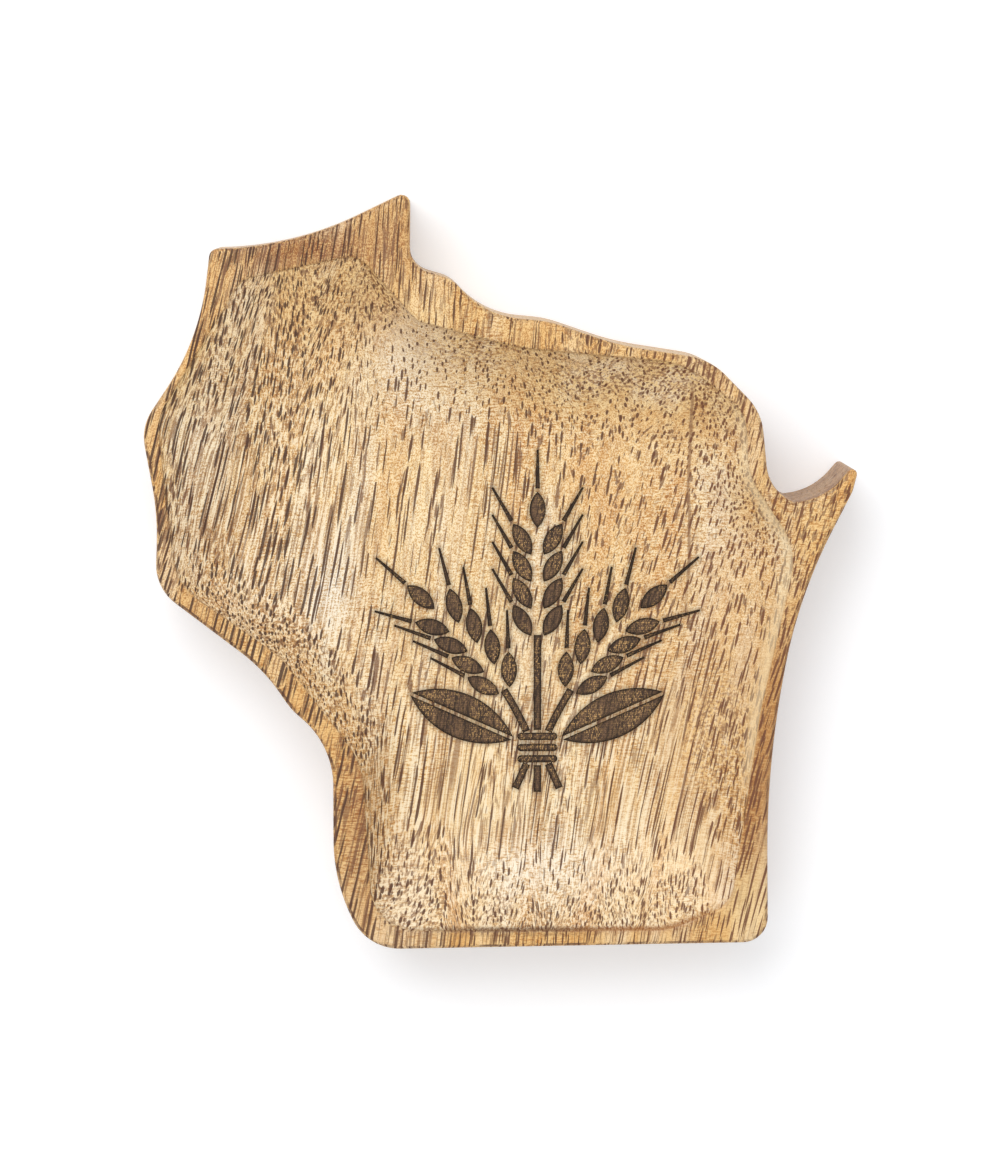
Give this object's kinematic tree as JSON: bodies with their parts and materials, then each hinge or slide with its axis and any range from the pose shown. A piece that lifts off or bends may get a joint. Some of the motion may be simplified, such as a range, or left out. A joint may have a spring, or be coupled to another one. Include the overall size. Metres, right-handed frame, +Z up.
{
  "type": "trinket dish",
  "caption": "Small map-shaped wooden trinket dish: a thick hardwood board with a shallow carved bowl and a sheaf of grain burned into its floor.",
  "frame": {"origin": "centre of the board's outline, on its flat underside", "axes": "+Z up from the underside to the rim, +Y along the board's length to the peak, +X across its width to the thumb"},
  "size_m": [0.094, 0.1, 0.016],
  "materials": {
    "oiled_hardwood": "carved and sanded, satin oil",
    "charred_wood": "burned, matte"
  },
  "bodies": {
    "root": {"dish_body": "oiled_hardwood", "burned_grains": "charred_wood", "burned_beards": "charred_wood", "burned_stems": "charred_wood", "burned_leaves": "charred_wood", "burned_tie": "charred_wood"}
  },
  "joints": []
}
